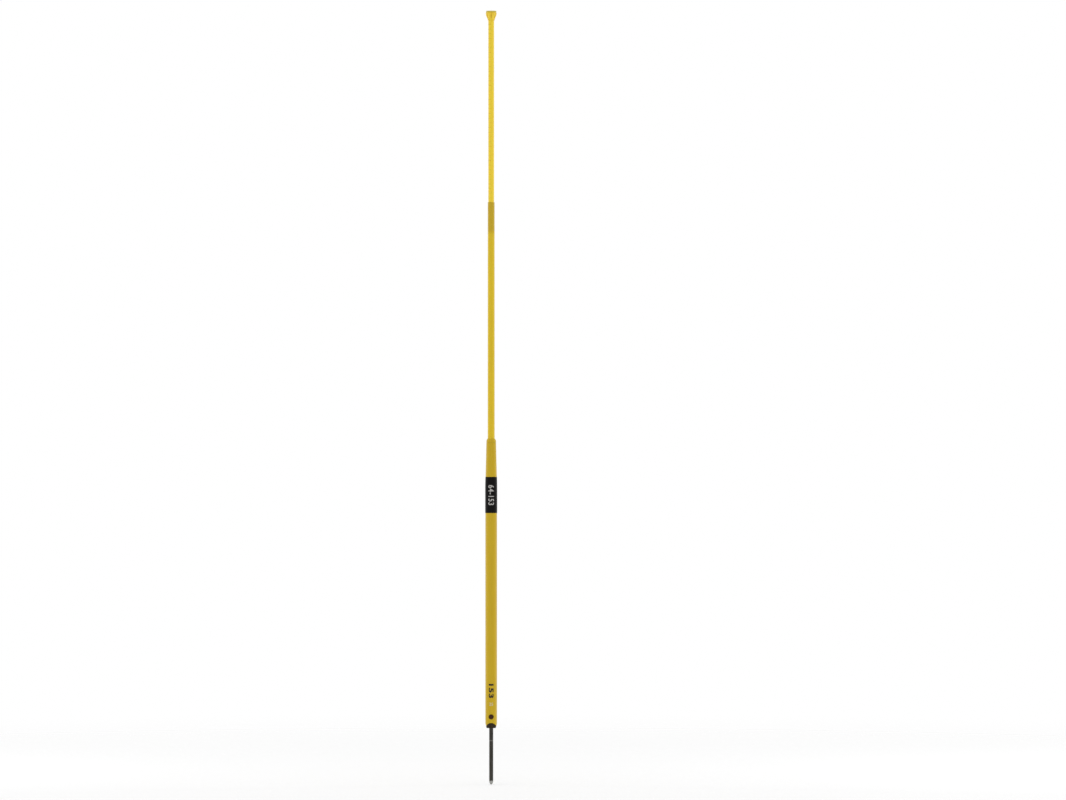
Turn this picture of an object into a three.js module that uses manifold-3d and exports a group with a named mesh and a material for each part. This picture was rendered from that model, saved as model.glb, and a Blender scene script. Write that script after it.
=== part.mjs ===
// A telescoping slalom pole for training drills: three plastic tubes slide into one another, on a
// steel spike that is pushed into turf. It is built drawn out to its full height.
// Millimetres, +Z up. The origin lies on the pole's axis at turf level, and the front faces -Y.

import * as THREE from "three";
import { mergeVertices } from "three/addons/utils/BufferGeometryUtils.js";
import Module from "manifold-3d";

const wasm = await Module();
wasm.setup();

// Clearances
const slidingGap = 0.2; // radial, round a piece that slides in a bore
const seatGap = 0.2; // where one piece is pressed or bonded on another
const stopGap = 0.3; // between a moving piece and the stop that ends its travel
const cutOverrun = 2; // how far a cutting shape runs past the piece that it cuts

// Facets round a turned shape
const tubeSides = 64;
const smallSides = 32;

// Upper section: the thinnest tube, with a flared foot that jams in the neck of the tube below
const upperTubeRadius = 6.2;
const upperTubeWall = 0.8;
const upperFootFlare = 0.25;
const upperFootStraight = 8;
const upperFootCone = 23;
const upperOverlap = 61;
const upperExposedLength = 388;
const upperFootPlugFlange = 1.8;
const upperFootPlugSpigot = 6.8;
const upperFootPlugWall = 1.1;

// Top cap
const capRadius = 11.5;
const capHeight = 20;
const capRimRadius = 10.9;
const capRimHeight = 3;
const capRimRounding = 0.6;
const capSocketDepth = 16;
const capNeckWall = 1;
const capFluteDepth = 2.3;
const capFlutes = 6;
const facetsPerFlute = 12;

// Middle section
const middleTubeWall = 0.75;
const middleNeckWall = 0.6;
const middleExposedLength = 504;
const lockCollarLength = 28.5;
const lockCollarSlit = 2;
const middleFootPlugFlange = 2.7;
const middleFootPlugSpigot = 16;
const middleFootPlugWall = 1.3;
const footFlangeSetback = 0.2;

// Bottom section: the tube and the bush in its mouth
const mouthHeight = 617;
const bushWall = 0.9;
const bushFlangeHeight = 8.5;
const bushSkirtLength = 26.5;
const shoulderReach = 2.3;
const shoulderHeight = 7;
const bottomTubeWall = 1.6;
const neckTaper = 2.1;
const neckLength = 100;
const tubeFootHeight = 5;
const footRoundHeight = 6.7;
const footEdgeWall = 0.4;
const notchRadius = 11.6;
const notchApexHeight = 11.2;

// Band sleeve, placed from the mouth down
const bandSetback = 81.5;
const bandLength = 77;
const bandGap = 0.1;
const bandThickness = 0.4;

// Ground spike, its plug and the pin across them
const spikeRadius = 4.3;
const spikeExposedLength = 120;
const spikeSocketDepth = 34;
const spikeTipLength = 9;
const spikeTopChamfer = 0.9;
const plugWeb = 5;
const plugCoreRadius = 6.7;
const plugCoreDepth = 7;
const plugUndersideInset = 1.15;
const plugUndersideRounding = 1.8;
const pinRadius = 1.25;
const pinDepth = 4.5;
const pinSetback = 0.5;

// Snap button and its spring
const buttonRadius = 5.15;
const buttonHeight = 24.2;
const buttonProud = 0.8;
const buttonDomeHeight = 1.2;
const buttonRimRounding = 0.7;
const buttonHoleGap = 0.3;
const buttonTravel = 2.5;
const buttonWall = 1.5;
const buttonFaceThickness = 1.6;
const earHalfWidth = 2.7;
const earReach = 1.3;
const earThickness = 1;
const springWireRadius = 0.2;
const springTurns = 4;
const springStepsPerTurn = 12;
const springWireSides = 6;

// Radii that follow, from the inside out
const upperFootRadius = upperTubeRadius + upperFootFlare;
const middleMouthBore = upperTubeRadius + slidingGap;
const middleBore = upperFootRadius + slidingGap;
const middleTopRadius = middleMouthBore + middleTubeWall;
const middleNeckRadius = middleBore + middleNeckWall;
const middleFootRadius = middleBore + middleTubeWall;
const bushBore = middleFootRadius + slidingGap;
const bushSkirtRadius = bushBore + bushWall;
const neckTopRadius = bushSkirtRadius + seatGap + bottomTubeWall;
const bottomTubeRadius = neckTopRadius + neckTaper;
const bottomTubeBore = bottomTubeRadius - bottomTubeWall;
const plugRadius = bottomTubeBore - seatGap;
const plugUndersideRadius = plugRadius - plugUndersideInset;
const spikeBore = spikeRadius + seatGap;
const capSocketRadius = upperTubeRadius + seatGap;
const capNeckRadius = capSocketRadius + capNeckWall;

// Heights that follow in the bottom section, over the turf
const bottomTubeTop = mouthHeight - bushFlangeHeight - seatGap;
const neckStartHeight = mouthHeight - neckLength;
const bandTopHeight = mouthHeight - bandSetback;
const bandBottomHeight = bandTopHeight - bandLength;
const bushBottom = mouthHeight - bushFlangeHeight - bushSkirtLength;
const notchCentreHeight = notchApexHeight - notchRadius;
const plugTopHeight = spikeSocketDepth + plugWeb + plugCoreDepth;
const pinHeight = spikeSocketDepth - pinDepth;

// Where the drawn-out sections stand: the middle one over the turf, the upper one over the middle
// one's foot, and the cap over the upper one's foot
const middleFootHeight = bushBottom - stopGap - lockCollarLength;
const middleTubeLength = mouthHeight + middleExposedLength - middleFootHeight;
const upperFootRise = middleTubeLength - upperOverlap;
const capRise = upperOverlap + upperExposedLength;
const upperTubeLength = capRise + capSocketDepth - seatGap;

// Depths of the snap button, measured from the pole's axis towards the front
const buttonCrown = bottomTubeRadius + buttonProud;
const buttonRim = buttonCrown - buttonDomeHeight;
const buttonCeiling = buttonCrown - buttonFaceThickness;
const earFront = Math.sqrt(bottomTubeBore ** 2 - earHalfWidth ** 2) - stopGap;
const skirtEnd = earFront - earThickness;
const pocketFloor = skirtEnd - buttonTravel - stopGap;
const buttonCupRadius = buttonRadius - buttonWall;
const earTipRadius = buttonRadius + earReach;

// Outline shares. Each pair is a share of the radius, depth or reach, and a share of the height.
const spikeTipShares = [
  [0.3, 0],
  [0.6, 0.14],
  [0.84, 0.42],
  [0.96, 0.72],
  [1, 1],
];
const footRoundShares = [
  [0, 0],
  [0.42, 0.26],
  [0.76, 0.56],
  [0.95, 0.84],
  [1, 1],
];
const shoulderShares = [
  [0, 0],
  [0.13, 0.4],
  [0.33, 0.6],
  [0.61, 0.8],
  [1, 1],
];
// Each row is a share of the body's height, of its flare, and of the flutes' depth.
const capBodyShares = [
  [0, 0, 0],
  [0.12, 0.06, 0.05],
  [0.25, 0.22, 0.3],
  [0.4, 0.5, 0.65],
  [0.55, 0.76, 0.9],
  [0.7, 0.93, 1],
  [0.85, 1, 1],
  [0.95, 0.91, 0.85],
  [1, 0.7, 0.6],
];

const yellowTube = new THREE.MeshStandardMaterial({ color: 0xd9b52e, roughness: 0.32, metalness: 0 });
const yellowMoulding = new THREE.MeshStandardMaterial({ color: 0xe6c936, roughness: 0.4, metalness: 0 });
const blackFilm = new THREE.MeshStandardMaterial({ color: 0x1a171a, roughness: 0.45, metalness: 0 });
const blackMoulding = new THREE.MeshStandardMaterial({ color: 0x1d1a18, roughness: 0.55, metalness: 0 });
const darkSteel = new THREE.MeshStandardMaterial({ color: 0x383834, roughness: 0.45, metalness: 0.8 });
const springSteel = new THREE.MeshStandardMaterial({ color: 0xa8a8a4, roughness: 0.3, metalness: 1 });

// Turned shape from [radius, height] points that go up the outside and down the inside.
function turned(points, sides = tubeSides) {
  const outline = points.map(([radius, height]) => new THREE.Vector2(radius, height));
  return new THREE.LatheGeometry(outline, sides).rotateX(Math.PI / 2);
}

// Turned ring: the same, closed on its own first point.
function turnedRing(points, sides = tubeSides) {
  return turned([...points, points[0]], sides);
}

// Round bar along Y that reaches as far to the front as to the back.
function barThrough(radius, reach, height, sides) {
  return new THREE.CylinderGeometry(radius, radius, reach + reach, sides).translate(0, 0, height);
}

// Round bar along Y from the front reach in to a depth, both measured from the pole's axis.
function barFromFront(radius, reach, depth, height) {
  const bar = new THREE.CylinderGeometry(radius, radius, reach - depth, smallSides);
  return bar.translate(0, -(reach + depth) / 2, height);
}

// Box between two corners.
function boxBetween(low, high) {
  const size = high.map((value, axis) => value - low[axis]);
  const centre = high.map((value, axis) => (value + low[axis]) / 2);
  return new THREE.BoxGeometry(...size).translate(...centre);
}

// Solid for joining and cutting, from a closed geometry.
function solid(geometry) {
  const bare = geometry.index ? geometry.toNonIndexed() : geometry.clone();
  bare.deleteAttribute("normal");
  bare.deleteAttribute("uv");
  const merged = mergeVertices(bare);
  return new wasm.Manifold(
    new wasm.Mesh({
      numProp: 3,
      vertProperties: merged.attributes.position.array,
      triVerts: new Uint32Array(merged.index.array),
    }),
  );
}

// Geometry of a joined or cut solid.
function geometryOf(shape) {
  const mesh = shape.getMesh();
  const geometry = new THREE.BufferGeometry();
  geometry.setAttribute("position", new THREE.BufferAttribute(new Float32Array(mesh.vertProperties), 3));
  geometry.setIndex(new THREE.BufferAttribute(new Uint32Array(mesh.triVerts), 1));
  geometry.computeVertexNormals();
  return geometry;
}

// Closed skin through rings of points, each ring as long as the next, with a fan at both ends.
function ringSkin(rings, firstCentre, lastCentre) {
  const count = rings[0].length;
  const points = [...rings.flat(), firstCentre, lastCentre];
  const first = points.length - 2;
  const last = points.length - 1;
  const faces = [];
  for (let side = 0; side < count; side += 1) {
    const next = (side + 1) % count;
    for (let ring = 0; ring + 1 < rings.length; ring += 1) {
      const low = ring * count;
      const high = low + count;
      faces.push(low + side, low + next, high + next);
      faces.push(low + side, high + next, high + side);
    }
    const top = (rings.length - 1) * count;
    faces.push(first, next, side);
    faces.push(last, top + side, top + next);
  }
  const geometry = new THREE.BufferGeometry();
  geometry.setAttribute("position", new THREE.Float32BufferAttribute(points.flat(), 3));
  geometry.setIndex(faces);
  geometry.computeVertexNormals();
  return geometry;
}

function named(name, geometry, material) {
  const mesh = new THREE.Mesh(geometry, material);
  mesh.name = name;
  return mesh;
}

// Outer radius of the bottom tube: straight, then drawn in towards its mouth.
function bottomRadiusAt(height) {
  const share = (height - neckStartHeight) / (bottomTubeTop - neckStartHeight);
  return bottomTubeRadius - neckTaper * Math.max(0, share);
}

// Outside of the tube's rounded lower end, brought in by an inset.
function footOutline(inset) {
  const edgeRadius = bottomTubeBore + footEdgeWall;
  return footRoundShares.map(([outward, up]) => [
    edgeRadius + (bottomTubeRadius - edgeRadius) * outward - inset,
    tubeFootHeight + footRoundHeight * up,
  ]);
}

// Bottom section, with its origin at turf level

function bottomTube() {
  const tube = solid(
    turnedRing([
      ...footOutline(0),
      [bottomTubeRadius, neckStartHeight],
      [neckTopRadius, bottomTubeTop],
      [neckTopRadius - bottomTubeWall, bottomTubeTop],
      [bottomTubeBore, neckStartHeight],
      [bottomTubeBore, tubeFootHeight],
    ]),
  );
  const reach = bottomTubeRadius + cutOverrun;
  const notch = solid(barThrough(notchRadius, reach, notchCentreHeight, tubeSides));
  const buttonHole = solid(barFromFront(buttonRadius + buttonHoleGap, reach, 0, buttonHeight));
  return geometryOf(tube.subtract(notch).subtract(buttonHole));
}

// The bush closes the gap between the tubes with a round shoulder. Its lower end stops the lock collar.
function mouthBush() {
  const flangeBottom = mouthHeight - bushFlangeHeight;
  const shoulder = shoulderShares.map(([inward, up]) => [
    neckTopRadius - shoulderReach * inward,
    mouthHeight - shoulderHeight * (1 - up),
  ]);
  return turnedRing([
    [bushBore, bushBottom],
    [bottomRadiusAt(bushBottom) - bottomTubeWall - seatGap, bushBottom],
    [bushSkirtRadius, flangeBottom],
    [neckTopRadius, flangeBottom],
    ...shoulder,
    [bushBore, mouthHeight],
  ]);
}

// The sleeve follows the tube, so it has a bend where the neck starts, if that lies under it.
function bandSleeve() {
  const bend = [neckStartHeight].filter((height) => height > bandBottomHeight && height < bandTopHeight);
  const heights = [bandBottomHeight, ...bend, bandTopHeight];
  const inside = heights.map((height) => [bottomRadiusAt(height) + bandGap, height]);
  const outside = inside.map(([radius, height]) => [radius + bandThickness, height]);
  return turnedRing([...outside, ...inside.reverse()]);
}

// The plug fills the tube's lower end. Its front and back lugs fill the notch and take the push of the spike.
function spikePlug() {
  const body = solid(
    turned([
      [0, 0],
      [plugUndersideRadius, 0],
      [plugRadius, plugUndersideRounding],
      [plugRadius, plugTopHeight],
      [0, plugTopHeight],
    ]),
  );
  const lugBlock = solid(
    turned([
      [0, plugUndersideRounding],
      [plugRadius, plugUndersideRounding],
      ...footOutline(seatGap),
      [0, tubeFootHeight + footRoundHeight],
    ]),
  );
  const reach = bottomTubeRadius + cutOverrun;
  const notchFill = solid(barThrough(notchRadius - stopGap, reach, notchCentreHeight, tubeSides));
  const spikeSocket = solid(
    turned(
      [
        [0, -cutOverrun],
        [spikeBore, -cutOverrun],
        [spikeBore, spikeSocketDepth + seatGap],
        [0, spikeSocketDepth + seatGap],
      ],
      smallSides,
    ),
  );
  const core = solid(
    turned([
      [0, plugTopHeight - plugCoreDepth],
      [plugCoreRadius, plugTopHeight - plugCoreDepth],
      [plugCoreRadius, plugTopHeight + cutOverrun],
      [0, plugTopHeight + cutOverrun],
    ]),
  );
  const pocket = solid(barFromFront(buttonRadius + buttonHoleGap, reach, pocketFloor, buttonHeight));
  const earRun = earTipRadius + buttonHoleGap;
  const earSlot = solid(
    boxBetween(
      [-earHalfWidth - buttonHoleGap, -reach, buttonHeight - earRun],
      [earHalfWidth + buttonHoleGap, -pocketFloor, buttonHeight + earRun],
    ),
  );
  const pinHole = solid(pinBar(pinRadius + seatGap, reach));
  const joined = body.add(lugBlock.intersect(notchFill));
  return geometryOf(
    joined.subtract(spikeSocket).subtract(core).subtract(pocket).subtract(earSlot).subtract(pinHole),
  );
}

// Round bar along X at the pin's height, reaching as far to both sides.
function pinBar(radius, reach) {
  const bar = new THREE.CylinderGeometry(radius, radius, reach + reach, smallSides).rotateZ(Math.PI / 2);
  return bar.translate(0, 0, pinHeight);
}

function spike() {
  const tip = spikeTipShares.map(([outward, up]) => [
    spikeRadius * outward,
    spikeTipLength * up - spikeExposedLength,
  ]);
  const rod = solid(
    turned(
      [
        [0, -spikeExposedLength],
        ...tip,
        [spikeRadius, spikeSocketDepth - spikeTopChamfer],
        [spikeRadius - spikeTopChamfer, spikeSocketDepth],
        [0, spikeSocketDepth],
      ],
      smallSides,
    ),
  );
  const pinHole = solid(pinBar(pinRadius + seatGap, spikeRadius + cutOverrun));
  return geometryOf(rod.subtract(pinHole));
}

// Button, with +Z out of the front of the pole and its origin on the pole's axis

// Cup-shaped button with two ears that keep it behind the tube's wall.
function snapButton() {
  const cup = solid(
    turnedRing(
      [
        [buttonCupRadius, skirtEnd],
        [buttonRadius, skirtEnd],
        [buttonRadius, buttonRim],
        [buttonRadius - buttonRimRounding, buttonRim + buttonRimRounding],
        [0, buttonCrown],
        [0, buttonCeiling],
        [buttonCupRadius, buttonCeiling],
      ],
      smallSides,
    ),
  );
  const bothEars = solid(
    boxBetween([-earHalfWidth, -earTipRadius, skirtEnd], [earHalfWidth, earTipRadius, earFront]),
  );
  const hollow = solid(
    turned(
      [
        [0, 0],
        [buttonCupRadius, 0],
        [buttonCupRadius, buttonCeiling],
        [0, buttonCeiling],
      ],
      smallSides,
    ),
  );
  return geometryOf(cup.add(bothEars.subtract(hollow)));
}

// Compression spring from the pocket's floor to the inside of the button's face, wound by formula.
function buttonSpring() {
  const coilRadius = buttonCupRadius - slidingGap - slidingGap - springWireRadius;
  const startDepth = pocketFloor + stopGap + springWireRadius;
  const endDepth = buttonCeiling - stopGap - springWireRadius;
  const steps = springTurns * springStepsPerTurn;
  const rings = [];
  const centres = [];
  for (let step = 0; step <= steps; step += 1) {
    const angle = (step / springStepsPerTurn) * 2 * Math.PI;
    const depth = startDepth + ((endDepth - startDepth) * step) / steps;
    const ring = [];
    for (let side = 0; side < springWireSides; side += 1) {
      const turn = (side / springWireSides) * 2 * Math.PI;
      const radius = coilRadius + springWireRadius * Math.cos(turn);
      const along = springWireRadius * Math.sin(turn);
      ring.push([radius * Math.cos(angle), radius * Math.sin(angle), depth - along]);
    }
    rings.push(ring);
    centres.push([coilRadius * Math.cos(angle), coilRadius * Math.sin(angle), depth]);
  }
  return ringSkin(rings, centres[0], centres[steps]);
}

// Middle section, with its origin at the foot of its tube

function middleTube() {
  return turnedRing([
    [middleFootRadius, 0],
    [middleNeckRadius, upperFootRise],
    [middleTopRadius, middleTubeLength],
    [middleMouthBore, middleTubeLength],
    [middleBore, upperFootRise],
    [middleBore, 0],
  ]);
}

// Radius that the lock collar's cone has, so that it meets the neck round it, at a height over the turf.
function lockConeAt(height) {
  return bottomRadiusAt(height) - bottomTubeWall - slidingGap;
}

// Split collar on the middle tube's foot. Its cone jams in the drawn-in neck of the bottom tube.
function lockCollar() {
  const inside = middleFootRadius + seatGap;
  const collar = solid(
    turnedRing([
      [inside, 0],
      [lockConeAt(middleFootHeight), 0],
      [lockConeAt(middleFootHeight + lockCollarLength), lockCollarLength],
      [inside, lockCollarLength],
    ]),
  );
  const slit = solid(
    boxBetween(
      [-lockCollarSlit / 2, 0, -cutOverrun],
      [lockCollarSlit / 2, bottomTubeRadius, lockCollarLength + cutOverrun],
    ),
  );
  return geometryOf(collar.subtract(slit));
}

// Cup-shaped plug pushed into a tube's foot from below, with a flange under the tube's end.
function footPlug(flangeRadius, flangeHeight, spigotRadius, spigotLength, wall) {
  return turned([
    [0, -seatGap - flangeHeight],
    [flangeRadius, -seatGap - flangeHeight],
    [flangeRadius, -seatGap],
    [spigotRadius, -seatGap],
    [spigotRadius, spigotLength],
    [spigotRadius - wall, spigotLength],
    [spigotRadius - wall, -seatGap],
    [0, -seatGap],
  ]);
}

function middleFootPlug() {
  return footPlug(
    lockConeAt(middleFootHeight) - footFlangeSetback,
    middleFootPlugFlange,
    middleBore - seatGap,
    middleFootPlugSpigot,
    middleFootPlugWall,
  );
}

// Upper section, with its origin at the foot of its tube

function upperTube() {
  const coneTop = upperFootStraight + upperFootCone;
  return turnedRing([
    [upperFootRadius, 0],
    [upperFootRadius, upperFootStraight],
    [upperTubeRadius, coneTop],
    [upperTubeRadius, upperTubeLength],
    [upperTubeRadius - upperTubeWall, upperTubeLength],
    [upperTubeRadius - upperTubeWall, coneTop],
    [upperFootRadius - upperTubeWall, upperFootStraight],
    [upperFootRadius - upperTubeWall, 0],
  ]);
}

function upperFootPlug() {
  return footPlug(
    upperFootRadius,
    upperFootPlugFlange,
    upperFootRadius - upperTubeWall - seatGap,
    upperFootPlugSpigot,
    upperFootPlugWall,
  );
}

// Cap with a flat round top, its origin in its underside. Below the rim its body flares out in rounded
// lobes with a flute between each two, one of them at the front.
function topCap() {
  const bodyHeight = capHeight - capRimHeight;
  const sides = capFlutes * facetsPerFlute;
  const rings = capBodyShares.map(([up, flare, flute]) => {
    const radius = capNeckRadius + (capRadius - capNeckRadius) * flare;
    return Array.from({ length: sides }, (_, side) => {
      const angle = (side / sides) * 2 * Math.PI;
      const fold = 1 - Math.abs(Math.sin((capFlutes * (angle + Math.PI / 2)) / 2));
      const here = radius - capFluteDepth * flute * fold;
      return [here * Math.cos(angle), here * Math.sin(angle), bodyHeight * up];
    });
  });
  const body = solid(ringSkin(rings, [0, 0, 0], [0, 0, bodyHeight]));
  const rim = solid(
    turned([
      [0, bodyHeight - capRimRounding],
      [capRimRadius - capRimRounding, bodyHeight - capRimRounding],
      [capRimRadius, bodyHeight],
      [capRimRadius, capHeight - capRimRounding],
      [capRimRadius - capRimRounding, capHeight],
      [0, capHeight],
    ]),
  );
  const socket = solid(
    turned([
      [0, -cutOverrun],
      [capSocketRadius, -cutOverrun],
      [capSocketRadius, capSocketDepth],
      [0, capSocketDepth],
    ]),
  );
  return geometryOf(body.add(rim).subtract(socket));
}

// Each section carries the one that slides in it, and the bottom one carries the button.

const button = new THREE.Group();
button.add(
  named("snap_button", snapButton(), blackMoulding),
  named("button_spring", buttonSpring(), springSteel),
);
button.rotation.x = Math.PI / 2;
button.position.z = buttonHeight;

const cap = named("top_cap", topCap(), yellowMoulding);
cap.position.z = capRise;

const upperSection = new THREE.Group();
upperSection.add(
  named("upper_tube", upperTube(), yellowTube),
  named("upper_foot_plug", upperFootPlug(), yellowMoulding),
  cap,
);
upperSection.position.z = upperFootRise;

const middleSection = new THREE.Group();
middleSection.add(
  named("middle_tube", middleTube(), yellowTube),
  named("lock_collar", lockCollar(), yellowMoulding),
  named("middle_foot_plug", middleFootPlug(), yellowMoulding),
  upperSection,
);
middleSection.position.z = middleFootHeight;

const pole = new THREE.Group();
pole.add(
  named("bottom_tube", bottomTube(), yellowTube),
  named("mouth_bush", mouthBush(), yellowMoulding),
  named("band_sleeve", bandSleeve(), blackFilm),
  named("spike_plug", spikePlug(), blackMoulding),
  named("spike", spike(), darkSteel),
  named("spike_pin", pinBar(pinRadius, plugRadius - pinSetback), springSteel),
  button,
  middleSection,
);

export default pole;
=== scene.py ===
# A telescoping slalom pole, drawn out to its full height: three yellow plastic tubes that slide into
# one another, a fluted cap, a black band, and a black plug that holds a dark steel ground spike.
# Lengths are in millimetres, and MM makes them metres. +Z is up, and the front faces -Y.
import math

import bmesh
import bpy
import numpy as np
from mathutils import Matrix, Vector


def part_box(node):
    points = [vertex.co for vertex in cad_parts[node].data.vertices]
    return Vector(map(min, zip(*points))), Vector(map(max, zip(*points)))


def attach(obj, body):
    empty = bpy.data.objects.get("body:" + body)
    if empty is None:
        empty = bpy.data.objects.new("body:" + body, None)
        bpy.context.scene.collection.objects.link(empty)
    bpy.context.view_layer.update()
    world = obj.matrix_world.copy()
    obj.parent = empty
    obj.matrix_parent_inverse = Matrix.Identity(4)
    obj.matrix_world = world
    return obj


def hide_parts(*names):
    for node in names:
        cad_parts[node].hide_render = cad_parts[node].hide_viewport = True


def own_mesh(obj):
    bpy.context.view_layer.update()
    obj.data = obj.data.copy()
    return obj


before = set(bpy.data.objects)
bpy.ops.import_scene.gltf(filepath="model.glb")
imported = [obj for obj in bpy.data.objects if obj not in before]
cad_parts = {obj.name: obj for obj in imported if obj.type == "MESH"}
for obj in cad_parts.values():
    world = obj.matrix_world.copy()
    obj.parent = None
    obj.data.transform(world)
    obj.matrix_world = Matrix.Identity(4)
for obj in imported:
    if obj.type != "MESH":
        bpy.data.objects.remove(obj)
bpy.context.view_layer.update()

MM = 0.001
TURN_SIDES = 192
MERGE_DISTANCE = 0.002
SHARP_ANGLE = math.radians(38)

# Roundings and gaps that many pieces share
FINE_EDGE = 0.1
EDGE_ROUNDING = 0.2
SOFT_EDGE = 0.3
ROUND_EDGE = 0.4
SEAT_GAP = 0.2
SLIDING_GAP = 0.2
EDGE_POINTS = 5


def corners_of(node):
    """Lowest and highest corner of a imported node, in millimetres."""
    low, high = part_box(node)
    return np.array(low) / MM, np.array(high) / MM


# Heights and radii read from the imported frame
tube_low, tube_high = corners_of("bottom_tube")
bush_low, bush_high = corners_of("mouth_bush")
band_low, band_high = corners_of("band_sleeve")
plug_low, plug_high = corners_of("spike_plug")
spike_low, spike_high = corners_of("spike")
pin_low, pin_high = corners_of("spike_pin")
button_low, button_high = corners_of("snap_button")
spring_low, spring_high = corners_of("button_spring")
middle_low, middle_high = corners_of("middle_tube")
collar_low, collar_high = corners_of("lock_collar")
middle_plug_low, middle_plug_high = corners_of("middle_foot_plug")
upper_low, upper_high = corners_of("upper_tube")
upper_plug_low, upper_plug_high = corners_of("upper_foot_plug")
cap_low, cap_high = corners_of("top_cap")

# Sizes that a shape and its finish share
SPIKE_RING_HEIGHT = -26.9
SPIKE_RING_HALF = 0.8
CAP_RIM_HEIGHT = 3
CAP_FLUTES = 6

# Camera: level, square to the front, and so far off that nothing tapers
IMAGE_WIDTH = 1066
IMAGE_HEIGHT = 800
MM_PER_PIXEL = 2.1322
POLE_PIXEL_X = 491.2
TURF_PIXEL_Y = 728.0
CAMERA_DISTANCE = 15000
SENSOR_WIDTH = 36
CAMERA_REACH = 100000

camera_data = bpy.data.cameras.new("camera")
camera_data.sensor_width = SENSOR_WIDTH
camera_data.lens = SENSOR_WIDTH * CAMERA_DISTANCE / (IMAGE_WIDTH * MM_PER_PIXEL)
camera_data.clip_end = CAMERA_REACH * MM
camera = bpy.data.objects.new("camera", camera_data)
camera.location = (
    (IMAGE_WIDTH / 2 - POLE_PIXEL_X) * MM_PER_PIXEL * MM,
    -CAMERA_DISTANCE * MM,
    (TURF_PIXEL_Y - IMAGE_HEIGHT / 2) * MM_PER_PIXEL * MM,
)
camera.rotation_euler = (math.pi / 2, 0, 0)
bpy.context.scene.collection.objects.link(camera)
bpy.context.scene.camera = camera
bpy.context.scene.view_settings.view_transform = "Standard"


# Surfaces


def outline(corners, steps=6):
    """Flat outline through corners (across, up, rounding). A corner with a rounding becomes an arc of
    that radius that touches both of its sides."""
    points = []
    for number, (across, up, rounding) in enumerate(corners):
        corner = np.array([across, up], float)
        if rounding == 0:
            points.append(corner[None])
            continue
        before = np.array(corners[number - 1][:2], float) - corner
        after = np.array(corners[(number + 1) % len(corners)][:2], float) - corner
        before /= np.linalg.norm(before)
        after /= np.linalg.norm(after)
        half = math.acos(np.clip(before @ after, -1, 1)) / 2
        middle = (before + after) / np.linalg.norm(before + after)
        centre = corner + middle * rounding / math.sin(half)
        start = corner + before * rounding / math.tan(half) - centre
        end = corner + after * rounding / math.tan(half) - centre
        first = math.atan2(start[1], start[0])
        sweep = (math.atan2(end[1], end[0]) - first + math.pi) % (2 * math.pi) - math.pi
        angle = first + sweep * np.linspace(0, 1, steps + 1)
        points.append(centre + rounding * np.stack([np.cos(angle), np.sin(angle)], -1))
    return np.vstack(points)


def ring(profile):
    """The profile closed on its own first point."""
    return np.vstack([profile, profile[:1]])


def around(radius, turn, height):
    """Points at a radius and height, turned about the pole's axis from the front, -Y, towards +X."""
    return np.stack(np.broadcast_arrays(radius * np.sin(turn), -radius * np.cos(turn), height), -1)


def full_turn(sides=TURN_SIDES):
    """Angles once round the axis, with the front in the middle."""
    return np.arange(sides) * 2 * math.pi / sides - math.pi


def turned(profile, sides=TURN_SIDES):
    """Grid of a turned shape: each point (radius, height) of the profile goes round in a circle."""
    return around(profile[:, :1], full_turn(sides)[None], profile[:, 1:]), True


def laid_forward(patch, height):
    """The same grid turned about X, so that what was up points to the front, at a height."""
    points, closed = patch
    across, back, up = np.moveaxis(points, -1, 0)
    return np.stack([across, -up, back + height], -1), closed


def laid_across(patch, height):
    """The same grid turned about Y, so that what was up points to +X, at a height."""
    points, closed = patch
    across, back, up = np.moveaxis(points, -1, 0)
    return np.stack([up, back, height - across], -1), closed


def seal(mesh):
    """Makes one closed skin: points that meet are merged, slivers go, and the faces point out."""
    form = bmesh.new()
    form.from_mesh(mesh)
    bmesh.ops.triangulate(form, faces=[face for face in form.faces if len(face.verts) > 4])
    bmesh.ops.remove_doubles(form, verts=form.verts, dist=MERGE_DISTANCE * MM)
    bmesh.ops.dissolve_degenerate(form, edges=form.edges, dist=MERGE_DISTANCE * MM)
    bmesh.ops.recalc_face_normals(form, faces=form.faces)
    form.to_mesh(mesh)
    form.free()


def surface(name, *patches):
    """One mesh from grids of points, each with a flag that says if its columns close into a ring.
    Patches that touch become one skin."""
    points = []
    faces = []
    first = 0
    for grid, closed in patches:
        rows, columns = grid.shape[:2]
        number = first + np.arange(rows * columns).reshape(rows, columns)
        if closed:
            number = np.hstack([number, number[:, :1]])
        faces.append(np.stack([number[:-1, :-1], number[:-1, 1:], number[1:, 1:], number[1:, :-1]], -1))
        points.append(grid.reshape(-1, 3) * MM)
        first += rows * columns
    mesh = bpy.data.meshes.new(name)
    flat_faces = [row for block in faces for row in block.reshape(-1, 4).tolist()]
    mesh.from_pydata(np.vstack(points).tolist(), [], flat_faces)
    seal(mesh)
    made = bpy.data.objects.new(name, mesh)
    bpy.context.scene.collection.objects.link(made)
    return made


def carve(made, cutters, operation="DIFFERENCE"):
    """Takes the cutters out of a piece, or joins them to it, and then deletes them."""
    for cutter in cutters:
        step = made.modifiers.new(cutter.name, "BOOLEAN")
        step.operation = operation
        step.solver = "EXACT"
        step.object = cutter
    bpy.context.view_layer.update()
    evaluated = made.evaluated_get(bpy.context.evaluated_depsgraph_get())
    mesh = bpy.data.meshes.new_from_object(evaluated)
    seal(mesh)
    made.modifiers.clear()
    made.data = mesh
    for cutter in cutters:
        bpy.data.objects.remove(cutter)
    return made


def place(made, body, slot, material, *nodes):
    """Gives a finished surface its material and its place in the frame."""
    made.data.materials.clear()
    made.data.materials.append(material)
    made.data.polygons.foreach_set("use_smooth", np.ones(len(made.data.polygons), bool))
    made.data.set_sharp_from_angle(angle=SHARP_ANGLE)
    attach(made, body)
    if nodes:
        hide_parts(*nodes)
    return made


# Materials

# Most of a noise lies in this part of its range.
NOISE_SPAN = (0.3, 0.7)
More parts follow.
